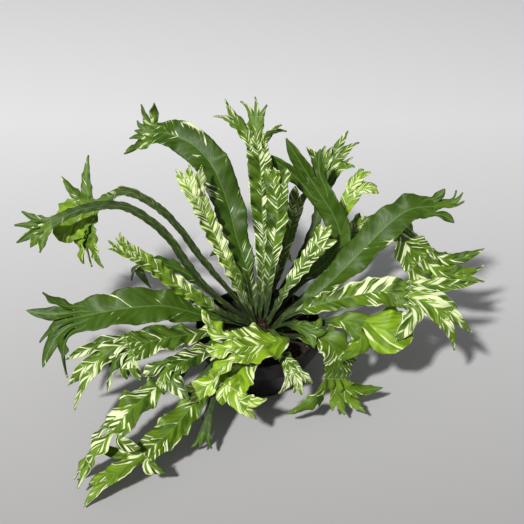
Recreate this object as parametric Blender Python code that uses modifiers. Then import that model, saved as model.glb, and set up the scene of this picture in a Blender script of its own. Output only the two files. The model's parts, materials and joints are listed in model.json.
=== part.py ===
"""Potted bird's-nest fern, the crested and variegated kind, in a shallow nursery pot.

Metres, +Z up. The origin is the middle of the pot's underside. +X is to the right, +Y to the back.
Every frond grows from the crown, so its spine is given in millimetres from the middle of the crown's top.
"""
import math

import bpy
from mathutils import Matrix, Vector

MM = 0.001

# ---- pot ----
POT_HEIGHT = 0.050
RIM_RADIUS = 0.053
BASE_RADIUS = 0.035
POT_WALL = 0.0013
POT_FLOOR = 0.0018
BAND_HEIGHT = 0.014          # the upright band below the rim
BAND_STEP = 0.0016           # how far the wall steps in below the band
DRAIN_RADIUS = 0.0035
DRAIN_CIRCLE = 0.022
DRAIN_COUNT = 6
DRAIN_STEPS = 12
TURNED_STEPS = 48
CUTTER_TURN = 0.1            # radians; keeps a cutter's corners off the corners of what it cuts

# ---- soil and crown ----
SOIL_DROP = 0.009            # soil surface below the rim
FIT_GAP = 0.0003
CROWN_RADIUS = 0.0115
CROWN_RIGHT = 0.003          # the plant stands a little off the pot's middle
CROWN_ABOVE_RIM = 0.003
CROWN_SUNK = 0.003           # how deep the crown sits in the soil
CROWN_STEPS = 24

# ---- fronds ----
FROND_THICKNESS = 0.0009
STIPE_WIDTH = 2.4            # mm, like every width in the rows below
STIPE_SPACE = 0.0034         # between the middles of neighbouring stipes on the crown
STIPE_RISE = 0.006           # straight stretch where a stipe leaves the crown
TIP_WIDTH = 1.6
EASE_ROUNDS = 200
STATION_GAP = 0.015          # between cross-sections along a spine
CURVE_STEPS = 8              # fine steps between two rows of a spine
FINGER_ROWS = 3
FINGER_KNEE = 0.45           # how far a finger runs on along the spine before it bends to its tip
FINGER_FULL = 0.625          # where along it a finger has its full width
FINGER_TAPER = 0.6           # and where it starts to narrow to its tip
RINGS = {"low": 0.92, "middle": 0.70, "high": 0.38}   # share of the crown's radius where a stipe starts
DRAWN_RIM = 0.053            # the rim and crown that the spines below were drawn around
DRAWN_CROWN_TOP = 0.053

SOIL_TOP = POT_HEIGHT - SOIL_DROP
CROWN_TOP = POT_HEIGHT + CROWN_ABOVE_RIM
CROWN_HEIGHT = CROWN_TOP - SOIL_TOP
BAND_BOTTOM = POT_HEIGHT - BAND_HEIGHT

# name: (ring, heading, fold, spine, fingers)
# heading: degrees from +X towards +Y, the way the frond leans; fold: degrees its halves lift from flat.
# spine: (right, back, up, width, roll) in mm from the crown's top; roll in degrees about the spine.
# fingers of the crest, from left to right: (ahead, aside, lift, width) in mm from the spine's end.
FRONDS = {
    "frond_back_1": ("high", 92, 14, [
        (0, 22, 28, 9, 0), (1, 42, 57, 15, 0), (0, 58, 84, 21, 0), (-1, 68, 106, 22, 0),
        (-4, 75, 126, 18, 0)],
        [(35, -22, -10, 9), (35, 7, -10, 10), (13, 17, 1, 6)]),
    "frond_back_2": ("high", 70, 10, [
        (6, 18, 34, 9, 0), (10, 30, 60, 15, 0), (13, 40, 82, 19, 0), (12, 50, 104, 19, 0)],
        [(14, -2, 0, 13), (13, 3, 0, 10)]),
    "frond_back_3": ("high", 122, 12, [
        (-10, 26, 25, 10, 0), (-21, 44, 54, 22, -5), (-29, 62, 79, 28, -10), (-40, 76, 103, 30, -15),
        (-56, 88, 119, 30, -20), (-78, 98, 126, 26, -35), (-92, 105, 123, 21, -45)],
        [(22, -14, 3, 11), (18, -1, 10, 10), (5, 14, 12, 12)]),
    "frond_back_4": ("high", 150, 16, [
        (-20, 13, 26, 9, -20), (-33, 26, 53, 14, -20), (-44, 36, 76, 16, -25), (-53, 42, 96, 16, -25)],
        [(28, 5, -7, 11), (21, 12, -2, 9)]),
    "frond_back_5": ("high", 40, 8, [
        (32, 23, 23, 7, 10), (56, 43, 32, 15, 15), (67, 53, 48, 19, 25), (62, 60, 66, 21, 45),
        (47, 69, 88, 22, 55)],
        [(51, -15, 3, 11), (51, 1, 1, 12), (28, 13, -1, 10)]),
    "frond_back_6": ("middle", 72, 12, [
        (13, 34, 24, 8, 0), (22, 56, 48, 13, 0), (30, 74, 72, 14, 0)],
        [(14, -2, 0, 7), (12, 4, 0, 5)]),
    "frond_back_7": ("high", 18, 14, [
        (20, 12, 24, 9, 10), (34, 22, 42, 15, 20), (46, 30, 56, 17, 20)],
        [(20, -3, 2, 10), (14, 6, 0, 6)]),
    "frond_back_8": ("middle", 56, 8, [
        (26, 44, 20, 5, 0), (44, 72, 42, 8, 5), (53, 92, 66, 11, 10), (58, 104, 84, 20, 10)],
        [(19, -15, 4, 9), (27, -3, 0, 10), (36, 12, -5, 10), (16, 15, -5, 9)]),
    "frond_back_9": ("middle", 40, 10, [
        (34, 42, 14, 5, 0), (56, 66, 34, 8, 10), (71, 82, 57, 12, 20), (81, 92, 73, 16, 20)],
        [(24, 5, -3, 9), (13, 16, -6, 10)]),
    "frond_back_10": ("middle", 26, 10, [
        (42, 36, 6, 5, 0), (66, 62, 20, 12, 10), (84, 84, 36, 18, 15)],
        [(22, 0, 0, 9), (14, 12, -4, 7)]),
    "frond_left_1": ("middle", 152, 20, [
        (-22, 12, 16, 4, -10), (-52, 30, 46, 6, -35), (-72, 42, 71, 6, -45), (-93, 52, 86, 7, -50),
        (-116, 60, 92, 8, -55), (-137, 60, 80, 11, -60)],
        [(25, -49, 0, 13), (35, -39, 1, 11), (46, -13, 6, 27), (19, 33, 10, 9), (-8, 39, 3, 9)]),
    "frond_left_2": ("middle", 168, 20, [
        (-27, 5, 12, 4, -20), (-48, 12, 29, 6, -40), (-64, 19, 50, 7, -50), (-78, 26, 70, 7, -50),
        (-98, 32, 86, 7, -50), (-118, 37, 92, 7, -50), (-147, 39, 87, 8, -50), (-173, 36, 76, 10, -50)],
        [(22, -13, 0, 10), (33, -5, 4, 7), (29, 8, 6, 7), (19, 14, 6, 6)]),
    "frond_left_3": ("middle", 186, 14, [
        (-30, -3, 10, 5, -30), (-50, -1, 24, 11, -35), (-68, 0, 38, 14, -35), (-90, 2, 58, 14, -35),
        (-106, 1, 72, 13, -35)],
        [(18, -2, 0, 5), (15, 3, 0, 5)]),
    "frond_left_4": ("low", 142, 10, [
        (-36, 30, 0, 4, 0), (-64, 50, 12, 12, 0), (-90, 62, 17, 16, 0), (-106, 67, 14, 14, 0)],
        [(12, -6, -12, 5), (17, 2, -10, 5), (10, 10, -34, 8)]),
    "frond_left_5": ("low", 162, 10, [
        (-32, 14, 0, 4, 0), (-52, 24, 3, 10, 0), (-70, 32, 2, 14, 0)],
        [(18, -6, -3, 5), (22, 0, -5, 5), (18, 7, -9, 5)]),
    "frond_left_6": ("low", 184, 8, [
        (-28, -1, 2, 4, -20), (-48, -3, 9, 14, -24), (-78, -8, 23, 28, -28), (-106, -15, 27, 32, -28),
        (-130, -20, 26, 30, -24), (-148, -24, 24, 28, -20)],
        [(18, -28, -22, 10), (35, -21, -19, 10), (34, -8, -10, 8), (39, 11, 2, 9), (23, 16, 7, 9)]),
    "frond_left_7": ("low", 206, 8, [
        (-26, -10, -1, 4, -10), (-46, -20, 5, 14, -10), (-76, -36, 13, 26, -14),
        (-102, -52, 17, 28, -14)],
        [(5, -14, -14, 12), (23, -14, -28, 9), (46, -6, -39, 12), (43, 10, -24, 9)]),
    "frond_front_1": ("low", 226, 10, [
        (-24, -22, 0, 8, 0), (-40, -40, 5, 18, 0), (-56, -56, 9, 21, 0), (-70, -68, 10, 22, 0)],
        [(3, -19, -11, 12), (12, -8, -11, 11), (17, 6, -8, 11)]),
    "frond_front_2": ("low", 216, 8, [
        (-24, -20, -6, 3, 0), (-48, -40, -1, 5, 0), (-72, -66, -2, 14, 0), (-95, -94, -4, 28, 0),
        (-110, -112, -12, 24, 0)],
        [(-2, -14, -10, 10), (46, 11, -18, 11), (17, 4, -5, 8)]),
    "frond_front_3": ("low", 240, 8, [
        (-22, -24, -5, 3, 0), (-38, -50, 2, 5, 0), (-52, -78, -15, 20, 0), (-70, -102, -24, 26, 0),
        (-88, -120, -28, 20, 0)],
        [(-3, -13, -8, 10), (48, 16, -12, 13), (20, 28, 0, 8)]),
    "frond_front_4": ("middle", 250, 12, [
        (3, -18, 7, 4, 0), (10, -25, 7, 8, 0), (13, -33, 8, 20, -10), (4, -40, 10, 36, -20),
        (-9, -46, 13, 38, -25), (-22, -50, 15, 30, -25)],
        [(20, -16, -14, 11), (20, -3, -7, 12), (20, 22, 9, 13)]),
    "frond_front_5": ("low", 256, 10, [
        (-9, -30, -3, 5, 0), (-12, -50, 0, 21, 0), (-20, -62, 0, 34, 0), (-27, -72, -3, 36, 0)],
        [(-2, -25, -12, 12), (13, -3, -11, 11), (24, 16, -7, 12)]),
    "frond_front_6": ("low", 248, 8, [
        (-18, -28, -6, 3, 0), (-27, -52, -1, 3, 0), (-38, -76, -14, 6, 0), (-44, -94, -32, 9, 0)],
        [(12, -4, -3, 4), (14, 3, 0, 4)]),
    "frond_front_7": ("low", 292, 10, [
        (12, -30, -4, 4, 0), (19, -46, 0, 12, 0), (25, -58, -4, 15, 0)],
        [(10, -9, -12, 6), (14, 0, -14, 6), (9, 10, -9, 6)]),
    "frond_front_8": ("low", 328, 10, [
        (24, -14, -4, 4, 0), (42, -22, 2, 14, 10), (55, -30, 3, 26, 15), (61, -41, -6, 30, 15),
        (60, -50, -17, 28, 15)],
        [(4, -26, 16, 9), (18, -21, 12, 12), (28, -5, 1, 9), (23, 9, -9, 9), (33, 20, -19, 9)]),
    "frond_front_9": ("middle", 322, 10, [
        (20, -11, 7, 5, 10), (32, -18, 10, 12, 20), (39, -22, 9, 13, 25)],
        [(2, -10, 1, 7), (12, -6, 0, 7), (10, 7, -1, 7)]),
    "frond_right_1": ("middle", 18, 10, [
        (28, 8, 11, 5, 15), (52, 18, 22, 18, 25), (82, 34, 47, 28, 28), (106, 46, 68, 29, 28),
        (124, 52, 79, 26, 25), (144, 55, 80, 20, 25)],
        [(12, -6, 5, 7), (25, -2, 4, 10), (15, 8, -3, 7)]),
    "frond_right_2": ("middle", 356, 14, [
        (26, 0, 10, 7, 20), (48, -2, 20, 17, 28), (70, -4, 29, 20, 32), (95, -8, 38, 25, 35),
        (117, -12, 38, 26, 35)],
        [(52, -9, -5, 9), (41, 7, -9, 9), (55, 28, -18, 14), (-6, 28, -9, 14)]),
    "frond_right_3": ("low", 346, 8, [
        (24, -6, 0, 4, 10), (50, -11, 8, 6, 15), (68, -16, 14, 16, 25), (80, -22, 12, 26, 35)],
        [(40, -8, 0, 32), (-2, 28, 8, 13)]),
    "frond_right_4": ("low", 14, 8, [
        (26, 7, 0, 3, 0), (54, 28, 12, 5, 0), (80, 46, 34, 7, 20), (102, 58, 54, 10, 30),
        (115, 54, 60, 20, 45), (124, 44, 48, 32, 60), (134, 36, 38, 34, 65)],
        [(27, -36, 7, 9), (47, -37, 7, 11), (35, 1, -2, 14)]),
    "frond_rear_1": ("low", 106, 10, [
        (-14, 38, 2, 4, 0), (-22, 68, 10, 16, 0), (-28, 94, 5, 22, 0)],
        [(24, -9, -8, 9), (26, 0, -12, 9), (20, 9, -8, 9)]),
    "frond_rear_2": ("low", 86, 10, [
        (4, 42, 0, 4, 0), (7, 78, 7, 18, 0), (9, 104, -2, 24, 0)],
        [(22, -10, -8, 9), (28, 0, -6, 10), (20, 10, -10, 9)]),
    "frond_rear_3": ("low", 62, 10, [
        (22, 38, -3, 4, 0), (40, 68, 3, 16, 0), (54, 90, -8, 20, 0)],
        [(20, -8, -6, 8), (24, 1, -4, 9), (17, 10, -8, 8)]),
}


def clear_scene():
    for old in list(bpy.data.objects):
        bpy.data.objects.remove(old, do_unlink=True)


def new_collection(name):
    collection = bpy.data.collections.new(name)
    bpy.context.scene.collection.children.link(collection)
    return collection


def paint(name, color, roughness):
    """A matt Principled material; nothing in the pot or the plant is metal."""
    material = bpy.data.materials.new(name)
    material.use_nodes = True
    shader = material.node_tree.nodes["Principled BSDF"]
    shader.inputs["Base Color"].default_value = (*color, 1.0)
    shader.inputs["Roughness"].default_value = roughness
    shader.inputs["Metallic"].default_value = 0.0
    return material


def mesh_object(name, points, edges, faces, collection, material):
    mesh = bpy.data.meshes.new(name)
    mesh.from_pydata(points, edges, faces)
    obj = bpy.data.objects.new(name, mesh)
    mesh.materials.append(material)
    collection.objects.link(obj)
    return obj


def turned(name, profile, centre, steps, collection, material):
    """Turns (radius, height) points, which run over the top and down the outside, about a vertical axis."""
    points = [(radius, 0.0, height) for radius, height in profile]
    edges = [(i, i + 1) for i in range(len(points) - 1)]
    obj = mesh_object(name, points, edges, [], collection, material)
    obj.location = (centre, 0.0, 0.0)
    screw = obj.modifiers.new("turn", "SCREW")
    screw.axis = "Z"
    screw.steps = screw.render_steps = steps
    screw.use_merge_vertices = True
    screw.merge_threshold = 0.00001
    screw.use_smooth_shade = True
    return obj


def cut(target, radius, height, middle, cutters, steps):
    """Cuts a vertical round hole."""
    bpy.ops.mesh.primitive_cylinder_add(
        vertices=steps, radius=radius, depth=height, location=middle, rotation=(0.0, 0.0, CUTTER_TURN))
    tool = bpy.context.object
    tool.name = target.name + "_cutter"
    for collection in list(tool.users_collection):
        collection.objects.unlink(tool)
    cutters.objects.link(tool)
    tool.hide_render = True
    tool.display_type = "WIRE"
    boolean = target.modifiers.new("cut", "BOOLEAN")
    boolean.operation = "DIFFERENCE"
    boolean.object = tool


def inner_radius(height):
    """The pot's inside radius at a height below the band."""
    share = height / BAND_BOTTOM
    outer = BASE_RADIUS + share * (RIM_RADIUS - BAND_STEP - BASE_RADIUS)
    return outer - POT_WALL


def make_pot(collection, cutters):
    profile = [
        (0.0, POT_FLOOR),
        (inner_radius(POT_FLOOR), POT_FLOOR),
        (inner_radius(BAND_BOTTOM), BAND_BOTTOM),
        (RIM_RADIUS - POT_WALL, BAND_BOTTOM + BAND_STEP),
        (RIM_RADIUS - POT_WALL, POT_HEIGHT),
        (RIM_RADIUS, POT_HEIGHT),
        (RIM_RADIUS, BAND_BOTTOM),
        (RIM_RADIUS - BAND_STEP, BAND_BOTTOM),
        (BASE_RADIUS, 0.0),
        (0.0, 0.0),
    ]
    pot = turned("pot", profile, 0.0, TURNED_STEPS, collection, paint("pot", (0.012, 0.012, 0.013), 0.45))
    for hole in range(DRAIN_COUNT):
        angle = 2 * math.pi * (hole + 0.5) / DRAIN_COUNT
        middle = (DRAIN_CIRCLE * math.cos(angle), DRAIN_CIRCLE * math.sin(angle), POT_FLOOR / 2)
        cut(pot, DRAIN_RADIUS, 4 * POT_FLOOR, middle, cutters, DRAIN_STEPS)


def make_soil(collection, cutters):
    bottom = POT_FLOOR + FIT_GAP
    top_edge = min(SOIL_TOP, BAND_BOTTOM)
    profile = [(0.0, SOIL_TOP)]
    if SOIL_TOP > BAND_BOTTOM + BAND_STEP:
        profile.append((RIM_RADIUS - POT_WALL - FIT_GAP, SOIL_TOP))
        profile.append((RIM_RADIUS - POT_WALL - FIT_GAP, BAND_BOTTOM + BAND_STEP))
    profile += [
        (inner_radius(top_edge) - FIT_GAP, top_edge),
        (inner_radius(bottom) - FIT_GAP, bottom),
        (0.0, bottom),
    ]
    soil = turned("soil", profile, 0.0, TURNED_STEPS, collection, paint("soil", (0.035, 0.022, 0.015), 0.95))
    middle = (CROWN_RIGHT, 0.0, SOIL_TOP)
    cut(soil, CROWN_RADIUS + FIT_GAP, 2 * CROWN_SUNK, middle, cutters, CROWN_STEPS)


def crown_height(share):
    """How far the crown's surface stands above the soil, at a share of its radius from its middle."""
    return CROWN_HEIGHT * math.sqrt(1 - share * share)


def make_crown(collection):
    shares = [0.0, 0.3, 0.55, 0.75, 0.9, 1.0]
    profile = [(share * CROWN_RADIUS, SOIL_TOP + crown_height(share)) for share in shares]
    profile.append((CROWN_RADIUS, SOIL_TOP - CROWN_SUNK + FIT_GAP))
    profile.append((0.0, SOIL_TOP - CROWN_SUNK + FIT_GAP))
    turned("crown", profile, CROWN_RIGHT, CROWN_STEPS, collection, paint("crown", (0.045, 0.026, 0.016), 0.9))


def place(right, back, up):
    """A point drawn from the crown's top in mm, moved out with the rim and kept off the ground with the pot."""
    reach = math.hypot(right, back) * MM
    outward = 1.0
    if reach > 0.0:
        outward += (RIM_RADIUS - DRAWN_RIM) * min(1.0, reach / DRAWN_RIM) / reach
    rise = up * MM
    if up < 0:
        rise *= CROWN_TOP / DRAWN_CROWN_TOP
    return Vector((CROWN_RIGHT + right * MM * outward, back * MM * outward, CROWN_TOP + rise))


def stipe_bearings(ring):
    """The angle of each stipe on a ring: its frond's heading, eased apart where two would touch."""
    names = sorted((name for name in FRONDS if FRONDS[name][0] == ring), key=lambda name: FRONDS[name][1])
    angles = [float(FRONDS[name][1]) for name in names]
    least = math.degrees(STIPE_SPACE / (RINGS[ring] * CROWN_RADIUS))
    for _ in range(EASE_ROUNDS):
        for index in range(len(angles)):
            follower = (index + 1) % len(angles)
            apart = (angles[follower] - angles[index]) % 360
            push = max(0.0, least - apart) / 2
            angles[index] -= push
            angles[follower] += push
    return dict(zip(names, angles))


def stipe_start(ring, heading):
    """Where a stipe leaves the crown's surface, and the way it points there."""
    share = RINGS[ring]
    level = crown_height(share)
    slope = Vector((share * CROWN_HEIGHT / CROWN_RADIUS, 0.0, level / CROWN_HEIGHT)).normalized()
    turn = Matrix.Rotation(math.radians(heading), 3, "Z")
    surface = turn @ Vector((share * CROWN_RADIUS, 0.0, level))
    away = turn @ slope
    return Vector((CROWN_RIGHT, 0.0, SOIL_TOP)) + surface + away * FIT_GAP * 2, away


def smooth_between(values, index, share):
    """Catmull-Rom through a list of numbers or vectors."""
    before = values[max(index - 1, 0)]
    start, end = values[index], values[index + 1]
    after = values[min(index + 2, len(values) - 1)]
    return 0.5 * (
        2 * start
        + (end - before) * share
        + (2 * before - 5 * start + 4 * end - after) * share ** 2
        + (3 * start - before - 3 * end + after) * share ** 3
    )


def stations(points, widths, rolls, gap):
    """Even steps along the curve through the points: (position, width, roll) at each."""
    fine = []
    for index in range(len(points) - 1):
        for step in range(CURVE_STEPS):
            share = step / CURVE_STEPS
            ease = share * share * (3 - 2 * share)
            width = widths[index] + ease * (widths[index + 1] - widths[index])
            roll = rolls[index] + ease * (rolls[index + 1] - rolls[index])
            fine.append((smooth_between(points, index, share), width, roll))
    fine.append((points[-1], widths[-1], rolls[-1]))
    along = [0.0]
    for here, there in zip(fine, fine[1:]):
        along.append(along[-1] + (there[0] - here[0]).length)
    count = max(3, round(along[-1] / gap))
    found, index = [], 0
    for step in range(count + 1):
        goal = along[-1] * step / count
        while index < len(fine) - 2 and along[index + 1] < goal:
            index += 1
        share = (goal - along[index]) / (along[index + 1] - along[index])
        here, there = fine[index], fine[index + 1]
        found.append(tuple(a + (b - a) * share for a, b in zip(here, there)))
    return found


def section(middle, side, normal, width, fold, columns):
    """One row of points across a blade whose halves lift by the fold from its midrib."""
    row = []
    for column in range(columns + 1):
        across = width * MM / 2 * (2 * column / columns - 1)
        row.append(middle + side * across * math.cos(fold) + normal * abs(across) * math.sin(fold))
    return row


def tangents(points):
    ahead = [points[1] - points[0]]
    ahead += [after - before for before, after in zip(points, points[2:])]
    ahead.append(points[-1] - points[-2])
    return [step.normalized() for step in ahead]


def blade_rows(ring, bearing, heading, fold, spine, columns):
    """The rows of points from the crown to the fork, and the directions at the fork."""
    start, away = stipe_start(ring, bearing)
    points = [start, start + away * STIPE_RISE] + [place(*row[:3]) for row in spine]
    widths = [STIPE_WIDTH, STIPE_WIDTH] + [row[3] for row in spine]
    rolls = [0.0, 0.0] + [math.radians(row[4]) for row in spine]
    along = stations(points, widths, rolls, STATION_GAP)
    across = Vector((math.sin(math.radians(heading)), -math.cos(math.radians(heading)), 0.0))
    rows = []
    for (middle, width, roll), ahead in zip(along, tangents([item[0] for item in along])):
        normal = Matrix.Rotation(roll, 3, ahead) @ across.cross(ahead).normalized()
        side = ahead.cross(normal)
        rows.append(section(middle, side, normal, width, fold, columns))
    return rows, ahead, side, normal


def finger_rows(first, ahead, side, normal, finger):
    """One finger of the crest: it leaves along the spine and bends to its own tip."""
    reach, aside, lift, width = finger
    root = (first[0] + first[-1]) / 2
    tip = root + (ahead * reach + side * aside + normal * lift) * MM
    knee = root + ahead * (tip - root).length * FINGER_KNEE
    start_width = (first[-1] - first[0]).length / MM
    rows = []
    across = (first[-1] - first[0]).normalized()
    for row in range(1, FINGER_ROWS + 1):
        share = row / FINGER_ROWS
        middle = root.lerp(knee, share).lerp(knee.lerp(tip, share), share)
        way = (knee - root).lerp(tip - knee, share).normalized()
        across = (across - way * across.dot(way)).normalized()
        full = start_width + (width - start_width) * min(1.0, share / FINGER_FULL)
        taper = full + (TIP_WIDTH - full) * max(0.0, share - FINGER_TAPER) / (1 - FINGER_TAPER)
        rows.append(section(middle, across, across.cross(way), taper, 0.0, len(first) - 1))
    return rows


def ribbon(points, faces, rows):
    """Adds rows of points and the faces between them; the first row may already be there, as numbers."""
    numbers = []
    for row in rows:
        if isinstance(row[0], int):
            numbers.append(row)
            continue
        numbers.append(list(range(len(points), len(points) + len(row))))
        points.extend(row)
    for lower, upper in zip(numbers, numbers[1:]):
        for column in range(len(lower) - 1):
            faces.append((lower[column], lower[column + 1], upper[column + 1], upper[column]))
    return numbers[-1]


def make_frond(name, bearing, ring, heading, fold, spine, fingers, collection):
    columns = max(2, len(fingers))
    rows, ahead, side, normal = blade_rows(ring, bearing, heading, math.radians(fold), spine, columns)
    points, faces = [], []
    last = ribbon(points, faces, rows)
    share = columns // len(fingers)
    for number, finger in enumerate(fingers):
        base = last[number * share:(number + 1) * share + 1]
        first = [points[index] for index in base]
        ribbon(points, faces, [base] + finger_rows(first, ahead, side, normal, finger))
    frond = mesh_object(name, points, [], faces, collection, paint(name, (0.10, 0.24, 0.03), 0.4))
    solid = frond.modifiers.new("thickness", "SOLIDIFY")
    solid.thickness = FROND_THICKNESS
    solid.offset = 0.0


def build():
    clear_scene()
    collection = new_collection("potted_fern")
    cutters = new_collection("cutters")
    make_pot(collection, cutters)
    make_soil(collection, cutters)
    make_crown(collection)
    for ring in RINGS:
        for name, bearing in stipe_bearings(ring).items():
            make_frond(name, bearing, *FRONDS[name], collection)


build()
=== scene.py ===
"""Looks of the potted crested bird's-nest fern: pot, soil, crown, and every frond with its forked crest."""
import json
import math
import random

import bpy
from mathutils import Matrix, Vector, noise

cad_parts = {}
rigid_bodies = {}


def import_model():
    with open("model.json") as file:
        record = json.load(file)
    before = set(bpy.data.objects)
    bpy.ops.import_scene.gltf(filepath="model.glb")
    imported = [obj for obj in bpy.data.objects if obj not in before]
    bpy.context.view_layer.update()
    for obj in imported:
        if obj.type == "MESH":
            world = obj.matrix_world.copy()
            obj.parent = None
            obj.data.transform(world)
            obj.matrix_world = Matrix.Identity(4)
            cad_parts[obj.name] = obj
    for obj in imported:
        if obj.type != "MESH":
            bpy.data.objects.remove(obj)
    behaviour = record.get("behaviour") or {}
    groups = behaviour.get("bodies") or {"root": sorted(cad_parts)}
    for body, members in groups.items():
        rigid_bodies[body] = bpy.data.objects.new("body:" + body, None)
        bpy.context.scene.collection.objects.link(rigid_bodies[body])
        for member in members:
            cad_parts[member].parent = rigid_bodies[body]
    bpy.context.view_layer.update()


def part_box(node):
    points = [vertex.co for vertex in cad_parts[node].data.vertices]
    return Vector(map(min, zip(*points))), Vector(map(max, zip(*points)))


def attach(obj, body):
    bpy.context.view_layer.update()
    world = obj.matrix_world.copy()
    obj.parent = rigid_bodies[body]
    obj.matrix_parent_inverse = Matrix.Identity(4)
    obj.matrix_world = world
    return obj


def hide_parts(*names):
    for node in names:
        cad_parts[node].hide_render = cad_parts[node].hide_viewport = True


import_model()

# ---- set ----
# A matt floor, painted darker towards the camera as painted shade and pale far back, under a soft key from the
# upper left, with an even pale sky.
# The camera looks down at the crown.
scene = bpy.context.scene
scene.view_settings.view_transform = "Standard"
crown_low, crown_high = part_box("crown")
crown_top = Vector(((crown_low.x + crown_high.x) / 2, (crown_low.y + crown_high.y) / 2, crown_high.z))
pitch = math.radians(35)
distance = 0.7
crown_drop = 0.0504
sight = Vector((0, math.cos(pitch), -math.sin(pitch)))
up = Vector((0, math.sin(pitch), math.cos(pitch)))
camera = bpy.data.objects.new("camera", bpy.data.cameras.new("camera"))
scene.collection.objects.link(camera)
camera.data.sensor_width = 36
camera.data.lens = 57.2
camera.location = crown_top + up * crown_drop - sight * distance
camera.rotation_euler = (math.pi / 2 - pitch, 0, 0)
scene.camera = camera

bpy.ops.mesh.primitive_plane_add(size=40)
floor = bpy.context.object
floor.name = "floor"
floor_paint = bpy.data.materials.new("floor")
floor_paint.use_nodes = True
floor_nodes = floor_paint.node_tree.nodes
floor_shader = floor_nodes["Principled BSDF"]
floor_shader.inputs["Roughness"].default_value = 0.9
floor.data.materials.append(floor_paint)
floor_place = floor_nodes.new("ShaderNodeTexCoord")
floor_parts = floor_nodes.new("ShaderNodeSeparateXYZ")
floor_shade_ramp = floor_nodes.new("ShaderNodeMapRange")
floor_painted_shade = floor_nodes.new("ShaderNodeMix")
floor_painted_shade.data_type = "RGBA"
# Painted shade on the floor: dark grey at the near edge, fading to pale grey at the far edge.
near_edge, far_edge = -0.25, 0.50
floor_shade_ramp.inputs["From Min"].default_value = near_edge
floor_shade_ramp.inputs["From Max"].default_value = far_edge
floor_painted_shade.inputs[6].default_value = (0.325, 0.322, 0.325, 1)
floor_painted_shade.inputs[7].default_value = (0.80, 0.80, 0.825, 1)
for start, end in (
        (floor_place.outputs["Object"], floor_parts.inputs[0]),
        (floor_parts.outputs[1], floor_shade_ramp.inputs[0]),
        (floor_shade_ramp.outputs[0], floor_painted_shade.inputs[0]),
        (floor_painted_shade.outputs[2], floor_shader.inputs["Base Color"])):
    floor_paint.node_tree.links.new(start, end)

key = bpy.data.objects.new("key", bpy.data.lights.new("key", "AREA"))
key.data.size = 0.30
key.data.energy = 190
key.data.color = (1.0, 0.99, 0.96)
key_way = Vector((-0.38, -0.60, 0.80)).normalized()
key_distance = 4.0
key_aim = Vector((0, 0, 0.1))
key.location = key_aim + key_way * key_distance
key.rotation_euler = key_way.to_track_quat("Z", "Y").to_euler()
scene.collection.objects.link(key)
scene.world = scene.world or bpy.data.worlds.new("sky")
scene.world.use_nodes = True
sky = scene.world.node_tree.nodes["Background"]
sky.inputs["Color"].default_value = (0.96, 0.96, 0.97, 1)
sky.inputs["Strength"].default_value = 0.26

# ---- pot ----
# A shallow black nursery pot in thin satin plastic: upright band, rounded lip, tapering wall and drain holes.
# Its section is turned about the pot's axis, and the holes are cut.


def mesh_piece(name, points, edges, faces, materials):
    mesh = bpy.data.meshes.new(name)
    mesh.from_pydata(points, edges, faces)
    piece = bpy.data.objects.new(name, mesh)
    for material in materials:
        mesh.materials.append(material)
    scene.collection.objects.link(piece)
    return piece


def turned_piece(name, profile, steps, material):
    """A section of (radius, height) points, set to turn about the upright axis."""
    piece = mesh_piece(name, [(radius, 0, height) for radius, height in profile],
                       [(i, i + 1) for i in range(len(profile) - 1)], [], [material])
    turn = piece.modifiers.new("turn", "SCREW")
    turn.steps = turn.render_steps = steps
    turn.use_merge_vertices = True
    turn.merge_threshold = 0.00001
    return piece


def settle(piece):
    """Makes what the modifiers show the piece's own mesh."""
    bpy.context.view_layer.update()
    mesh = bpy.data.meshes.new_from_object(piece.evaluated_get(bpy.context.evaluated_depsgraph_get()))
    piece.modifiers.clear()
    piece.data = mesh
    return piece


def hand_in(piece, nodes):
    """Sets a finished piece on the root body, and hides the CAD nodes that it stands for."""
    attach(piece, "root")
    if nodes:
        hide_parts(*nodes)


def maths(tree, operation, *values):
    node = tree.nodes.new("ShaderNodeMath")
    node.operation = operation
    feed(tree, node, dict(enumerate(values)))
    return node.outputs[0]


def feed(tree, node, values):
    """Sets a node's inputs, by name or number, to constants or to other nodes' outputs."""
    for key, value in values.items():
        if isinstance(value, bpy.types.NodeSocket):
            tree.links.new(value, node.inputs[key])
        else:
            node.inputs[key].default_value = value


def cloud(tree, place, scale, detail=2.0):
    """Soft noise from 0 to 1; place is a vector socket, or three numbers or sockets."""
    if isinstance(place, tuple):
        joined = tree.nodes.new("ShaderNodeCombineXYZ")
        feed(tree, joined, dict(enumerate(place)))
        place = joined.outputs[0]
    node = tree.nodes.new("ShaderNodeTexNoise")
    feed(tree, node, {"Vector": place, "Scale": scale, "Detail": detail})
    return node.outputs[0]


def step_up(tree, value, low, high):
    """A smooth step from 0 at low to 1 at high."""
    node = tree.nodes.new("ShaderNodeMapRange")
    node.interpolation_type = "SMOOTHSTEP"
    feed(tree, node, {0: value, 1: low, 2: high})
    return node.outputs[0]


def mixed(tree, share, first, second):
    """The first colour at a share of 0 and the second at 1."""
    node = tree.nodes.new("ShaderNodeMix")
    node.data_type = "RGBA"
    feed(tree, node, {0: share, 6: first, 7: second})
    return node.outputs[2]


def blank_material(name):
    material = bpy.data.materials.new(name)
    material.use_nodes = True
    return material, material.node_tree, material.node_tree.nodes["Principled BSDF"]


def bumped(tree, shader, height, distance, strength=1.0):
    bump = tree.nodes.new("ShaderNodeBump")
    feed(tree, bump, {"Height": height, "Distance": distance, "Strength": strength})
    tree.links.new(bump.outputs[0], shader.inputs["Normal"])


def object_place(tree):
    return tree.nodes.new("ShaderNodeTexCoord").outputs["Object"]


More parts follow.
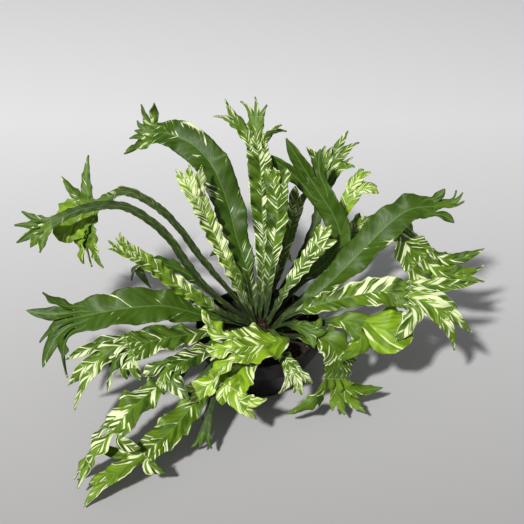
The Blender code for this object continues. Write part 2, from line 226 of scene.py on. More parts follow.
pot_low, pot_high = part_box("pot")
soil_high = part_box("soil")[1]
rim = (pot_high.x - pot_low.x) / 2
base = 0.66 * rim
band = pot_high.z - 0.014
step = 0.0016
wall = 0.0013
floor_top = 0.0018
foot_ring, foot_rise = 0.0036, 0.0006
drain_holes, drain_circle, drain_radius = 6, 0.022, 0.0035
pot_plastic, tree, shader = blank_material("pot_plastic")
dust = cloud(tree, object_place(tree), 90.0, 4.0)
black, dusty = (0.006, 0.006, 0.007, 1), (0.018, 0.017, 0.015, 1)
feed(tree, shader, {
    "Base Color": mixed(tree, step_up(tree, dust, 0.45, 0.75), black, dusty),
    "Roughness": maths(tree, "MULTIPLY_ADD", dust, 0.25, 0.36), "Specular IOR Level": 0.2})
bumped(tree, shader, cloud(tree, object_place(tree), 900.0, 2.0), 0.0001, 0.4)
profile = [(0, floor_top), (base - wall, floor_top), (rim - step - wall, band), (rim - wall, band + step),
           (rim - wall - 0.0004, pot_high.z - 0.0012), (rim - wall, pot_high.z - 0.0003),
           (rim - 0.0006, pot_high.z), (rim, pot_high.z - 0.0007), (rim - 0.0003, pot_high.z - 0.0030),
           (rim - 0.0001, band + 0.0008), (rim - 0.0003, band), (rim - step, band - 0.0003),
           (base + 0.0012, 0.0012), (base, 0.0), (base - foot_ring + foot_rise, 0.0),
           (base - foot_ring, foot_rise), (0, foot_rise)]
pot = turned_piece("pot_shell", profile, 96, pot_plastic)
drills = bpy.data.collections.new("drills")
for hole in range(drain_holes):
    angle = math.tau * (hole + 0.5) / drain_holes
    bpy.ops.mesh.primitive_cylinder_add(
        vertices=20, radius=drain_radius, depth=0.008, rotation=(0, 0, 0.1),
        location=(drain_circle * math.cos(angle), drain_circle * math.sin(angle), 0.001))
    drill = bpy.context.object
    scene.collection.objects.unlink(drill)
    drills.objects.link(drill)
holes = pot.modifiers.new("holes", "BOOLEAN")
holes.operand_type = "COLLECTION"
holes.collection = drills
settle(pot)
for drill in list(drills.objects):
    bpy.data.objects.remove(drill)
pot.data.shade_smooth()
pot.data.set_sharp_from_angle(angle=math.radians(40))
hand_in(pot, ["pot"])

# ---- soil ----
# Dark peat with bark chips and a few perlite grains. The surface is a disc of rings lifted by noise;
# the bits are one faceted chip scattered over it by Geometry Nodes.
peat, tree, shader = blank_material("peat")
crumbs = cloud(tree, object_place(tree), 420.0, 6.0)
wet_peat, dry_peat = (0.006, 0.004, 0.003, 1), (0.045, 0.027, 0.016, 1)
feed(tree, shader, {
    "Base Color": mixed(tree, step_up(tree, crumbs, 0.35, 0.7), wet_peat, dry_peat),
    "Roughness": 0.95})
bumped(tree, shader, crumbs, 0.0015)
soil_reach = rim - wall - 0.0006
soil_level = soil_high.z - 0.0008
rings, spokes = 26, 84
coarse, fine = 90, 320
points, faces = [(0, 0, soil_high.z - 0.001)], []
for ring in range(1, rings + 1):
    reach = soil_reach * ring / rings
    for spoke in range(spokes):
        angle = math.tau * spoke / spokes
        spot = Vector((reach * math.cos(angle), reach * math.sin(angle), 0))
        lift = 0.0022 * noise.noise(spot * coarse) + 0.0012 * noise.noise(spot * fine)
        points.append((spot.x, spot.y, soil_level + lift))
for spoke in range(spokes):
    angle = math.tau * spoke / spokes
    points.append((soil_reach * math.cos(angle), soil_reach * math.sin(angle), band + step))
points.append((0, 0, band + step))
for spoke in range(spokes):
    follower = (spoke + 1) % spokes
    faces.append((0, 1 + spoke, 1 + follower))
    for ring in range(rings):
        here, there = 1 + ring * spokes, 1 + (ring + 1) * spokes
        faces.append((here + spoke, there + spoke, there + follower, here + follower))
    faces.append((1 + rings * spokes + spoke, len(points) - 1, 1 + rings * spokes + follower))
soil = mesh_piece("soil_bed", points, [], faces, [peat])
soil.data.shade_smooth()


def new_tree(name, inputs):
    """An empty Geometry Nodes tree with the named inputs, and its input and output nodes."""
    tree = bpy.data.node_groups.new(name, "GeometryNodeTree")
    tree.interface.new_socket("Geometry", in_out="OUTPUT", socket_type="NodeSocketGeometry")
    for label, kind in [("Geometry", "Geometry")] + inputs:
        tree.interface.new_socket(label, in_out="INPUT", socket_type="NodeSocket" + kind)
    return tree, tree.nodes.new("NodeGroupInput").outputs, tree.nodes.new("NodeGroupOutput")


def tree_node(tree, kind, values=(), **settings):
    """A node with its settings and inputs, each given by name or number."""
    node = tree.nodes.new(kind)
    for label, setting in settings.items():
        setattr(node, label, setting)
    feed(tree, node, dict(values))
    return node


def run_tree(piece, tree, values):
    """Adds the tree to a piece, with its inputs set before it is first worked out."""
    modifier = piece.modifiers.new(tree.name, "NODES")
    modifier.node_group = tree
    for item in tree.interface.items_tree:
        if item.in_out == "INPUT" and item.name in values:
            modifier[item.identifier] = values[item.name]


scatter, given, shown = new_tree("scatter_bits", [
    ("Bit", "Object"), ("Density", "Float"), ("Smallest", "Float"), ("Largest", "Float"), ("Seed", "Int"),
    ("Tilt", "Float"), ("Material", "Material")])
spread = tree_node(scatter, "GeometryNodeDistributePointsOnFaces", {
    "Mesh": given["Geometry"], "Density": given["Density"], "Seed": given["Seed"]})
turned = tree_node(scatter, "FunctionNodeRandomValue", {"Seed": given["Seed"]}, data_type="FLOAT_VECTOR")
swing = tree_node(scatter, "ShaderNodeCombineXYZ", {0: given["Tilt"], 1: given["Tilt"], 2: math.pi})
backswing = tree_node(
    scatter, "ShaderNodeVectorMath", {0: swing.outputs[0], 1: (-1, -1, -1)}, operation="MULTIPLY")
feed(scatter, turned, {0: backswing.outputs[0], 1: swing.outputs[0]})
both = tree_node(scatter, "FunctionNodeRotateRotation", {
    0: spread.outputs["Rotation"], 1: turned.outputs[0]}, rotation_space="LOCAL")
size = tree_node(scatter, "FunctionNodeRandomValue", {"Seed": given["Seed"]}, data_type="FLOAT")
feed(scatter, size, {2: given["Smallest"], 3: given["Largest"]})
bit = tree_node(scatter, "GeometryNodeObjectInfo", {"Object": given["Bit"]})
placed = tree_node(scatter, "GeometryNodeInstanceOnPoints", {
    "Points": spread.outputs["Points"], "Instance": bit.outputs["Geometry"],
    "Rotation": both.outputs[0], "Scale": size.outputs[1]})
real = tree_node(scatter, "GeometryNodeRealizeInstances", {0: placed.outputs[0]})
finish = tree_node(scatter, "GeometryNodeSetMaterial", {
    "Geometry": real.outputs[0], "Material": given["Material"]})
scatter.links.new(finish.outputs[0], shown.inputs[0])


def bits(name, ground, bit, values):
    """Scatters copies of a small piece over another's top faces as one plain mesh."""
    piece = bpy.data.objects.new(name, ground.data.copy())
    scene.collection.objects.link(piece)
    run_tree(piece, scatter, dict(values, Bit=bit))
    settle(piece)
    hand_in(piece, [])


bark, tree, shader = blank_material("bark")
grain = cloud(tree, object_place(tree), 260.0, 5.0)
dark_bark, pale_bark = (0.018, 0.010, 0.006, 1), (0.095, 0.052, 0.028, 1)
feed(tree, shader, {
    "Base Color": mixed(tree, step_up(tree, grain, 0.4, 0.7), dark_bark, pale_bark),
    "Roughness": 0.88})
bumped(tree, shader, grain, 0.0006)
perlite, tree, shader = blank_material("perlite")
stained, clean = (0.42, 0.40, 0.36, 1), (0.72, 0.70, 0.65, 1)
feed(tree, shader, {
    "Base Color": mixed(tree, cloud(tree, object_place(tree), 700.0), stained, clean),
    "Roughness": 0.9})

chip_seed = 7
random.seed(chip_seed)
bpy.ops.mesh.primitive_ico_sphere_add(subdivisions=1, radius=1)
chip = bpy.context.object
for vertex in chip.data.vertices:
    vertex.co = Vector((vertex.co.x * 1.5, vertex.co.y, vertex.co.z * 0.5)) * random.uniform(0.75, 1.2)
top_only = mesh_piece("soil_top", points[:1 + rings * spokes], [], [
    face for face in faces if max(face) < 1 + (rings - 1) * spokes], [])
bits("soil_bark", top_only, chip, {
    "Density": 60000.0, "Smallest": 0.0007, "Largest": 0.0022, "Seed": 3, "Tilt": 0.5, "Material": bark})
bits("soil_perlite", top_only, chip, {
    "Density": 7000.0, "Smallest": 0.0005, "Largest": 0.0011, "Seed": 11, "Tilt": 0.6, "Material": perlite})
bpy.data.objects.remove(top_only)
bpy.data.objects.remove(chip)
hand_in(soil, ["soil"])

# ---- crown ----
# The short rhizome at the fern's heart: a low dome in dark brown fibre, thatched with narrow papery scales.
# The dome is turned to the CAD crown's size, and Geometry Nodes lays the scales on it.
fibre, tree, shader = blank_material("crown_fibre")
strands = cloud(tree, object_place(tree), 800.0, 4.0)
old_fibre, new_fibre = (0.010, 0.006, 0.004, 1), (0.085, 0.050, 0.028, 1)
feed(tree, shader, {
    "Base Color": mixed(tree, step_up(tree, strands, 0.35, 0.7), old_fibre, new_fibre),
    "Roughness": 0.92})
bumped(tree, shader, strands, 0.0008)
crown_radius = (crown_high.x - crown_low.x) / 2
dome_radius = crown_radius * 0.96
dome_height = crown_high.z - soil_high.z - 0.0006
profile = [(dome_radius * math.sin(a * math.pi / 20), soil_high.z + dome_height * math.cos(a * math.pi / 20))
           for a in range(11)]
profile += [(dome_radius, crown_low.z), (0, crown_low.z)]
dome = settle(turned_piece("crown_dome", profile, 48, fibre))
dome.data.transform(Matrix.Translation((crown_top.x, crown_top.y, 0)))
dome.data.shade_smooth()
scale_rows = 4
scale_lean, scale_curl = 0.16, 0.6
scale_half, scale_tip = 0.17, 0.01
scale_points, scale_faces = [], []
for row in range(scale_rows + 1):
    share = row / scale_rows
    half = scale_half * math.sin(math.pi * min(0.97, 0.25 + 0.75 * share)) + scale_tip
    for across in (-half, 0, half):
        scale_points.append((across, scale_lean * share - scale_curl * abs(across), share))
for row in range(scale_rows):
    for column in range(2):
        first = row * 3 + column
        scale_faces.append((first, first + 3, first + 4, first + 1))
scale = mesh_piece("scale", scale_points, [], scale_faces, [])
thick = scale.modifiers.new("thick", "SOLIDIFY")
thick.thickness = 0.04
settle(scale)
bits("crown_scales", dome, scale, {
    "Density": 480000.0, "Smallest": 0.0022, "Largest": 0.0048, "Seed": 5, "Tilt": 0.85, "Material": fibre})
bpy.data.objects.remove(scale)
hand_in(dome, ["crown"])

# ---- fronds ----
# Each frond grew as one thin leathery leaf: a wiry flecked stipe, a blade with cream streaks in a herringbone,
# and a crest that forks twice. A rule grows its sheet row by row along the spine of its CAD solid, Geometry
# Nodes wave the margins, and the sheet is thickened, with a paler underside.
MM = 0.001
ROW_GAP = 0.0018
TIP_ROW_GAP = 0.0014
# The leaf's first two greens are its green under painted shade and under painted light, for the hollows and the
# rises of its quilted relief.
LEAF_SHADED, LEAF_LIT, LIME = (0.007, 0.024, 0.002, 1), (0.032, 0.086, 0.007, 1), (0.34, 0.56, 0.018, 1)
CREAM, LIME_CREAM = (0.72, 0.78, 0.48, 1), (0.68, 0.80, 0.30, 1)
RIB_GREEN, UNDERSIDE = (0.13, 0.24, 0.05, 1), (0.24, 0.33, 0.13, 1)
STIPE_DARK, STIPE_FLECK = (0.014, 0.030, 0.004, 1), (0.09, 0.13, 0.020, 1)
VEIN_SLOPE, CREST_SLOPE = -1.1, -1.5
VEIN_WANDER, WANDER_PACE = 2.6, 0.16
HALF_LANE, SEED_LANE = 3.7, 7.3


def leaf_place(tree):
    """Where a spot lies on its leaf, in mm off and along the rib and the veins, and the leaf's own values."""
    place = tree_node(tree, "ShaderNodeSeparateXYZ", {
        0: tree_node(tree, "ShaderNodeUVMap", uv_map="veins").outputs[0]})
    at = {label: tree_node(tree, "ShaderNodeAttribute", attribute_name=label).outputs["Fac"]
          for label in ("cream", "lime", "leafy", "seed", "grain", "edge", "crest")}
    at["across"], at["along"] = place.outputs[0], place.outputs[1]
    at["off_rib"] = maths(tree, "ABSOLUTE", at["across"])
    half = maths(tree, "SIGN", at["across"])
    at["lane"] = maths(tree, "MULTIPLY_ADD", half, HALF_LANE, maths(tree, "MULTIPLY", at["seed"], SEED_LANE))
    wander = cloud(tree, (at["across"], at["along"], at["seed"]), WANDER_PACE)
    wander = maths(tree, "SUBTRACT", wander, 0.5)
    slope = maths(tree, "MULTIPLY_ADD", at["crest"], CREST_SLOPE, VEIN_SLOPE)
    at["vein"] = maths(tree, "MULTIPLY_ADD", at["off_rib"], slope,
                       maths(tree, "MULTIPLY_ADD", wander, VEIN_WANDER, at["along"]))
    return at


STREAK_FADE = 0.018
PATCH_ALONG, PATCH_ACROSS, PATCHINESS = 0.045, 0.07, 2.8
LEVEL_AT_NONE, LEVEL_PER_SHARE = 0.705, -0.25
STREAK_INSIDE, STREAK_OUTSIDE, HALO_WIDTH = 0.008, 0.022, 0.09
MARGIN_FROM, MARGIN_FULL = 1.14, 1.22


def leaf_streaks(tree, at):
    """How cream a spot is, in streaks along the veins and at some margins, and the pale halo of the streaks."""
    spacing = maths(tree, "MULTIPLY", at["grain"], maths(tree, "MULTIPLY_ADD", at["crest"], 0.8, 1.0))
    streaks = cloud(tree, (maths(tree, "DIVIDE", at["vein"], spacing),
                           maths(tree, "MULTIPLY", at["off_rib"], STREAK_FADE), at["lane"]), 1.0, 0.7)
    patches = cloud(tree, (maths(tree, "MULTIPLY", at["along"], PATCH_ALONG),
                           maths(tree, "MULTIPLY", at["across"], PATCH_ACROSS), at["lane"]), 1.0)
    share = maths(tree, "MULTIPLY_ADD", maths(tree, "SUBTRACT", patches, 0.5), PATCHINESS, at["cream"])
    more_on_crest = maths(tree, "MAXIMUM", maths(tree, "MULTIPLY", at["cream"], 0.5), 0.0)
    share = maths(tree, "MULTIPLY_ADD", at["crest"], more_on_crest, share)
    level = maths(tree, "MULTIPLY_ADD", share, LEVEL_PER_SHARE, LEVEL_AT_NONE)
    cream = step_up(tree, streaks, maths(tree, "SUBTRACT", level, STREAK_INSIDE),
                    maths(tree, "ADD", level, STREAK_OUTSIDE))
    margin = step_up(tree, maths(tree, "MULTIPLY_ADD", patches, 0.45, at["edge"]), MARGIN_FROM, MARGIN_FULL)
    margin = maths(tree, "MULTIPLY", margin, step_up(tree, share, 0.15, 0.45))
    halo = step_up(tree, streaks, maths(tree, "SUBTRACT", level, HALO_WIDTH), level)
    return maths(tree, "MAXIMUM", cream, margin), halo


SHADE_ALONG, SHADE_OFF_RIB, SHADE_LANE = 0.22, 0.05, 40.0
GLOW_ALONG, GLOW_OFF_RIB, GLOW_LANE = 0.10, 0.06, 80.0
GLOW_LIME, EVEN_LIME, SHADE_LIME, HALO_LIME = 0.95, 0.50, 0.10, 0.18


def leaf_green(tree, at, halo):
    """The green between the streaks, with painted shade along the veins: darker in the hollows of the quilted
    relief, lighter and limier on its rises. The lime comes in patches, partly the leaf's own and partly a
    painted glow of light through the leaf. Returns the green and the painted shade.
    """
    plain = step_up(tree, at["cream"], 0.35, 0.0)
    # Painted shade: soft noise along the veins darkens the green in the hollows of the relief and lightens it
    # on the rises.
    painted_shade = cloud(tree, (maths(tree, "MULTIPLY", at["vein"], SHADE_ALONG),
                         maths(tree, "MULTIPLY", at["off_rib"], SHADE_OFF_RIB),
                         maths(tree, "ADD", at["lane"], SHADE_LANE)), 1.0)
    painted_shade = step_up(tree, painted_shade, maths(tree, "MULTIPLY_ADD", plain, -0.55, 0.34),
                    maths(tree, "MULTIPLY_ADD", plain, 0.45, 0.66))
    # The lime tint comes in patches: partly the leaf's own lime and partly a painted glow of light through the
    # thin leaf.
    glow = cloud(tree, (maths(tree, "MULTIPLY", at["vein"], GLOW_ALONG),
                        maths(tree, "MULTIPLY", at["off_rib"], GLOW_OFF_RIB),
                        maths(tree, "ADD", at["lane"], GLOW_LANE)), 1.0)
    glow = step_up(tree, glow, 0.38, 0.62)
    tint = maths(tree, "MULTIPLY", at["lime"], maths(tree, "MULTIPLY_ADD", glow, GLOW_LIME, EVEN_LIME))
    tint = maths(tree, "MULTIPLY_ADD", halo, HALO_LIME, maths(tree, "MULTIPLY_ADD", painted_shade, SHADE_LIME, tint))
    return mixed(tree, tint, mixed(tree, painted_shade, LEAF_SHADED, LEAF_LIT), LIME), painted_shade


RIB_HALF, RIB_MIDDLE, RIB_STRENGTH = 0.75, 0.30, 0.55
FLECK_PACE = 0.16
RIDGE_SPACING, RIDGE_SHARE, SHADE_RELIEF = 1.5, 0.25, 1.5
RELIEF_DEPTH, RELIEF_STRENGTH = 0.00018, 0.85


def leaf_material(name, gloss, blade_roughness, stipe_roughness, paler):
    """Cream streaks on green, a pale rib and a flecked stipe; paler is the underside's share of pale green."""
    material, tree, shader = blank_material(name)
    at = leaf_place(tree)
    cream, halo = leaf_streaks(tree, at)
    green, painted_shade = leaf_green(tree, at, halo)
    blade = mixed(tree, cream, green, mixed(tree, at["lime"], CREAM, LIME_CREAM))
    rib = step_up(tree, at["off_rib"], RIB_HALF, RIB_MIDDLE)
    blade = mixed(tree, maths(tree, "MULTIPLY", rib, RIB_STRENGTH), blade, RIB_GREEN)
    flecks = cloud(tree, (maths(tree, "MULTIPLY", at["along"], FLECK_PACE), at["lane"], at["across"]), 1.0)
    stipe = mixed(tree, step_up(tree, flecks, 0.52, 0.74), STIPE_DARK, STIPE_FLECK)
    leaf = mixed(tree, at["leafy"], stipe, blade)
    if paler:
        leaf = mixed(tree, paler, leaf, UNDERSIDE)
    smoother = blade_roughness - stipe_roughness
    feed(tree, shader, {
        "Base Color": leaf, "Specular IOR Level": gloss,
        "Roughness": maths(tree, "MULTIPLY_ADD", at["leafy"], smoother, stipe_roughness)})
    # The relief rises where the painted shade is lightest, so the painted dark lies in its hollows.
    ridges = maths(tree, "SINE", maths(tree, "MULTIPLY", at["vein"], math.tau / RIDGE_SPACING))
    relief = maths(tree, "MULTIPLY_ADD", ridges, RIDGE_SHARE, maths(tree, "MULTIPLY", painted_shade, SHADE_RELIEF))
    bumped(tree, shader, relief, RELIEF_DEPTH, RELIEF_STRENGTH)
    return material


leaf_top = leaf_material("leaf_top", 0.27, 0.40, 0.68, 0)
leaf_under = leaf_material("leaf_under", 0.18, 0.60, 0.75, 0.35)

waves, given, shown = new_tree("margin_waves", [
    ("Height", "Float"), ("Length", "Float"), ("Unevenness", "Float"), ("Seed", "Float"),
    ("Material", "Material")])
held = {label: tree_node(waves, "GeometryNodeInputNamedAttribute", {"Name": label}, data_type=kind).outputs[0]
        for label, kind in (("edge", "FLOAT"), ("run", "FLOAT"), ("flare", "FLOAT"), ("lane", "FLOAT"),
                            ("lift", "FLOAT_VECTOR"))}
DRIFT_PACE, DRIFT_PULL, EDGE_POWER = 45.0, 14.0, 1.6
drift = cloud(waves, (maths(waves, "MULTIPLY", held["run"], DRIFT_PACE), held["lane"], given["Seed"]), 1.0)
drift = maths(waves, "SUBTRACT", drift, 0.5)
turns = maths(waves, "DIVIDE", held["run"], given["Length"])
phase = maths(waves, "MULTIPLY_ADD", turns, math.tau, maths(waves, "ADD", held["lane"], given["Seed"]))
phase = maths(waves, "MULTIPLY_ADD", drift, maths(waves, "MULTIPLY", given["Unevenness"], DRIFT_PULL), phase)
swell = maths(waves, "MULTIPLY", maths(waves, "POWER", held["edge"], EDGE_POWER), held["flare"])
rise = maths(waves, "MULTIPLY", maths(waves, "SINE", phase), maths(waves, "MULTIPLY", swell, given["Height"]))
offset = tree_node(waves, "ShaderNodeVectorMath", {0: held["lift"], "Scale": rise}, operation="SCALE")
moved = tree_node(waves, "GeometryNodeSetPosition", {
    "Geometry": given["Geometry"], "Offset": offset.outputs[0]})
real = tree_node(waves, "GeometryNodeRealizeInstances", {0: moved.outputs[0]})
finish = tree_node(waves, "GeometryNodeSetMaterial", {
    "Geometry": real.outputs[0], "Material": given["Material"]})
waves.links.new(finish.outputs[0], shown.inputs[0])


def ease(value, low, high):
    share = min(1.0, max(0.0, (value - low) / (high - low)))
    return share * share * (3 - 2 * share)


def smooth_between(values, index, share):
    """Catmull-Rom through a list of numbers or vectors."""
    before, start, end = values[max(index - 1, 0)], values[index], values[index + 1]
    after = values[min(index + 2, len(values) - 1)]
    return 0.5 * (2 * start + (end - before) * share + (2 * before - 5 * start + 4 * end - after) * share ** 2
                  + (3 * start - before - 3 * end + after) * share ** 3)


def stations(points, widths, rolls):
    """Even steps along the curve through the points: (position, width, roll) at each, and the run to it."""
    parts = 24
    fine = []
    for index in range(len(points) - 1):
        for part in range(parts):
            share = part / parts
            soft = ease(share, 0, 1) if index > 1 else share ** 0.7
            fine.append((smooth_between(points, index, share),
                         widths[index] + soft * (widths[index + 1] - widths[index]),
                         rolls[index] + soft * (rolls[index + 1] - rolls[index])))
    fine.append((points[-1], widths[-1], rolls[-1]))
    runs = [0.0]
    for here, there in zip(fine, fine[1:]):
        runs.append(runs[-1] + (there[0] - here[0]).length)
    count = round(runs[-1] / ROW_GAP)
    found, index = [], 0
    for part in range(count + 1):
        goal = runs[-1] * part / count
        while index < len(fine) - 2 and runs[index + 1] < goal:
            index += 1
        share = (goal - runs[index]) / (runs[index + 1] - runs[index])
        here, there = fine[index], fine[index + 1]
        found.append((tuple(a + (b - a) * share for a, b in zip(here, there)), goal))
    return found


def ribs_across(offsets, shares, parted):
    """The rib of each share of a row's columns: all on the leaf's middle line at 0, each on its own at 1."""
    ribs, first = [], 0
    for count in shares:
        ribs.append((offsets[first] + offsets[first + count]) / 2 * parted)
        first += count
    return ribs


THIN_SHARE, RIB_SHARE, STIPE_SHARE = 0.22, 0.5, 0.5
RIB_INNER, RIB_OUTER = 0.2, 1.6
STIPE_UP_TO, STIPE_GONE = 2.4, 7
WAVES_FROM, WAVES_FULL = 3, 13
SIDE_LANE = 1.2


def add_row(sheet, spot, offsets, ribs):
    """Adds a row of points, with the values that the waves, the thickening and the colours read at each."""
    middle, side, normal, half, run, leafy = spot
    first = len(sheet["points"])
    width = 2 * half / MM
    for offset in offsets:
        off_rib = min(abs(offset - rib) for rib in ribs)
        raised = normal * off_rib * math.sin(sheet["fold"])
        rib_share = 1 - ease(off_rib / MM, RIB_INNER, RIB_OUTER)
        stipe_share = (1 - ease(width, STIPE_UP_TO, STIPE_GONE)) * (1 - leafy)
        values = {
            "points": middle + side * offset * math.cos(sheet["fold"]) + raised,
            "edge": min(1.0, off_rib / half), "run": run, "lane": math.copysign(SIDE_LANE, offset),
            "lift": normal, "flare": ease(width, WAVES_FROM, WAVES_FULL), "leafy": leafy,
            "lime": sheet["tint"], "crest": sheet["forks"] / 2,
            "thick": min(1.0, THIN_SHARE + RIB_SHARE * rib_share + STIPE_SHARE * stipe_share)}
        for label, value in values.items():
            sheet[label].append(value)
    return {"numbers": range(first, len(sheet["points"])), "offsets": offsets, "ribs": ribs, "run": run}


RAG_PACE, RAG_SIDE, RAG_SEED = 260, 9.0, 5.0


def grow_strip(sheet, base, path, shares, parting):
    """Adds a strip of rows beyond the base row. Its rib parts into one for each share over the last stretch,
    and the last row is returned in pieces, one for each share. A row of the path is (middle, side, normal,
    half width, run, leafy)."""
    columns = sum(shares)
    owner = [number for number, count in enumerate(shares) for _ in range(count)]
    end_run = path[-1][4]
    rag_lane = sheet["seed"] * RAG_SEED
    lower = base
    for spot in path:
        half, run = spot[3], spot[4]
        offsets = []
        for column in range(columns + 1):
            reach = 2 * column / columns - 1
            rag = noise.noise(Vector((run * RAG_PACE, math.copysign(RAG_SIDE, reach), rag_lane)))
            offsets.append(half * reach * (1 + sheet["rag"] * rag * abs(reach)))
        parted = ease(run, end_run - parting, end_run) if len(shares) > 1 else 0.0
        row = add_row(sheet, spot, offsets, ribs_across(offsets, shares, parted))
        if lower is not None:
            for column in range(columns):
                corners = ((lower, column), (lower, column + 1), (row, column + 1), (row, column))
                sheet["faces"].append([corner["numbers"][c] for corner, c in corners])
                sheet["veins"].extend(
                    ((corner["offsets"][c] - corner["ribs"][owner[column]]) / MM, corner["run"] / MM)
                    for corner, c in corners)
        lower = row
    pieces, first = [], 0
    for count, centre in zip(shares, ribs_across(offsets, shares, 1)):
        last = first + count + 1
        pieces.append({"numbers": row["numbers"][first:last], "run": run, "ribs": [0.0],
                       "offsets": [offset - centre for offset in offsets[first:last]]})
        first += count
    return pieces


def shares_along(length, gap):
    """Shares of a bend's length at even rows, at least four of them."""
    rows = max(4, round(length / gap))
    return [part / rows for part in range(1, rows + 1)]


BEND_KNEE = 0.45


def bent_path(root, way, side, tip, halves, run, twist, reach=1.0):
    """A row for each half width, along the first reach of a bend that sets out along way to end at the tip."""
    knee = root + way * (tip - root).length * BEND_KNEE
    path, before, rows = [], root, len(halves)
    for part, half in enumerate(halves, 1):
        share = reach * part / rows
        middle = root.lerp(knee, share).lerp(knee.lerp(tip, share), share)
        ahead = (knee - root).lerp(tip - knee, share).normalized()
        side = (side - ahead * side.dot(ahead)).normalized()
        side = Matrix.Rotation(twist / rows, 3, ahead) @ side
        run += (middle - before).length
        before = middle
        path.append((middle, side, side.cross(ahead), half, run, 1.0))
    return path, ahead


def middle_point(sheet, row):
    return sheet["points"][row["numbers"][len(row["numbers"]) // 2]].copy()


def half_width(row):
    return (row["offsets"][-1] - row["offsets"][0]) / 2


BEND_LENGTH = 1.06
FINGER_SWELL = 1.35
FINGER_LEAST, LOBE_LEAST = 0.0003, 0.0004
LOBE_TINT, FORK_TINT = 0.30, 0.10
FINGER_TWIST, TIP_TWIST, FREE_TWIST_WIDTH = 0.9, 1.6, 8
FORK_PLACE = (0.55, 0.70)
FORK_PARTING, PARTING_SHARE = 0.008, 0.6
TIP_ANGLE, TIP_STRAY = (22, 36), (-6, 6)
TIP_LENGTH, TIP_SHORTER = (0.65, 1.2), 0.16
TIP_LIFT = (-0.5, 0.6)
TIP_SWELL, TIP_TAPER = 0.45, 0.7


def grow_finger(sheet, base, way, side, normal, finger):
    """One finger of the crest: it forks into two or three tips, or ends in one, or in a round lobe."""
    reach, aside, lift, width, tips = finger
    chance = sheet["chance"]
    root = middle_point(sheet, base)
    tip = root + (way * reach + side * aside + normal * lift) * MM
    length = (tip - root).length
    start = half_width(base)
    full = width * MM / 2 * FINGER_SWELL
    twist = chance.uniform(-FINGER_TWIST, FINGER_TWIST) * min(1.0, FREE_TWIST_WIDTH / width)
    columns = len(base["numbers"]) - 1
    sheet["forks"] = 1
    if tips < 2:
        halves = []
        for share in shares_along(length * BEND_LENGTH, ROW_GAP):
            swelling = start + (full - start) * ease(share, 0, 0.5)
            round_end = math.sqrt(max(0.0, 1 - max(0.0, share - 0.5) ** 2 * 4))
            pointed = max(FINGER_LEAST, swelling * (1 - share ** 3) ** 0.8)
            halves.append(pointed if tips else max(LOBE_LEAST, swelling * round_end))
        sheet["tint"] = sheet["lime"][0] + (0.0 if tips else LOBE_TINT)
        path, _ = bent_path(root, way, side, tip, halves, base["run"], twist)
        grow_strip(sheet, base, path, [columns], 0.0)
        return
    fork = chance.uniform(*FORK_PLACE)
    halves = [start + (full - start) * ease(share, 0, 0.6) for share in shares_along(length * fork, ROW_GAP)]
    path, ahead = bent_path(root, way, side, tip, halves, base["run"], twist, fork)
    fork_spot, side, _, _, fork_run, _ = path[-1]
    left = tip - fork_spot
    sheet["tint"] = sheet["lime"][0] + FORK_TINT
    base["ribs"] = [0.0] * tips
    parting = min(FORK_PARTING, PARTING_SHARE * (fork_run - base["run"]))
    ends = grow_strip(sheet, base, path, [columns // tips] * tips, parting)
    sheet["forks"] = 2
    for number, end in enumerate(ends):
        place = number - (tips - 1) / 2
        angle = math.radians(place * chance.uniform(*TIP_ANGLE) + chance.uniform(*TIP_STRAY))
        length = left.length * (1.05 - TIP_SHORTER * abs(place)) * chance.uniform(*TIP_LENGTH)
        aim = left.normalized() * math.cos(angle) + side * math.sin(angle)
        root = middle_point(sheet, end)
        tip = root + aim * length + side.cross(ahead) * length * chance.uniform(*TIP_LIFT)
        halves = []
        for share in shares_along((tip - root).length * BEND_LENGTH, TIP_ROW_GAP):
            swelling = half_width(end) * (1 + TIP_SWELL * math.sin(math.pi * share))
            halves.append(max(FINGER_LEAST, swelling * (1 - share) ** TIP_TAPER))
        path, _ = bent_path(root, ahead, side, tip, halves, end["run"], chance.uniform(-TIP_TWIST, TIP_TWIST))
        grow_strip(sheet, end, path, [len(end["numbers"]) - 1], 0.0)


RINGS = {"low": 0.92, "middle": 0.70, "high": 0.38}
CROWN_RISE = crown_high.z - soil_high.z
STIPE_GAP = 0.0034
STIPE_WIDTH = 2.4
STIPE_RISE = 0.0066
BLADE_FROM, BLADE_FULL = 5, 13
LEAST_COLUMNS = 12
CREST_PARTING = 0.020
SEED_STEP, WAVE_STEP = 0.61, 1.7
EASING_ROUNDS = 200
POINT_VALUES = ("edge", "run", "lane", "flare", "leafy", "lime", "crest")


def stipe_bearings(fronds):
    """The angle of each stipe on the crown: its frond's heading, eased apart where two would touch."""
    found = {}
    for ring, share in RINGS.items():
        names = sorted((name for name in fronds if fronds[name][0] == ring), key=lambda name: fronds[name][1])
        angles = [float(fronds[name][1]) for name in names]
        least = math.degrees(STIPE_GAP / (share * crown_radius))
        for _ in range(EASING_ROUNDS):
            for index in range(len(angles)):
                follower = (index + 1) % len(angles)
                push = max(0.0, least - (angles[follower] - angles[index]) % 360) / 2
                angles[index] -= push
                angles[follower] += push
        found.update(zip(names, angles))
    return found


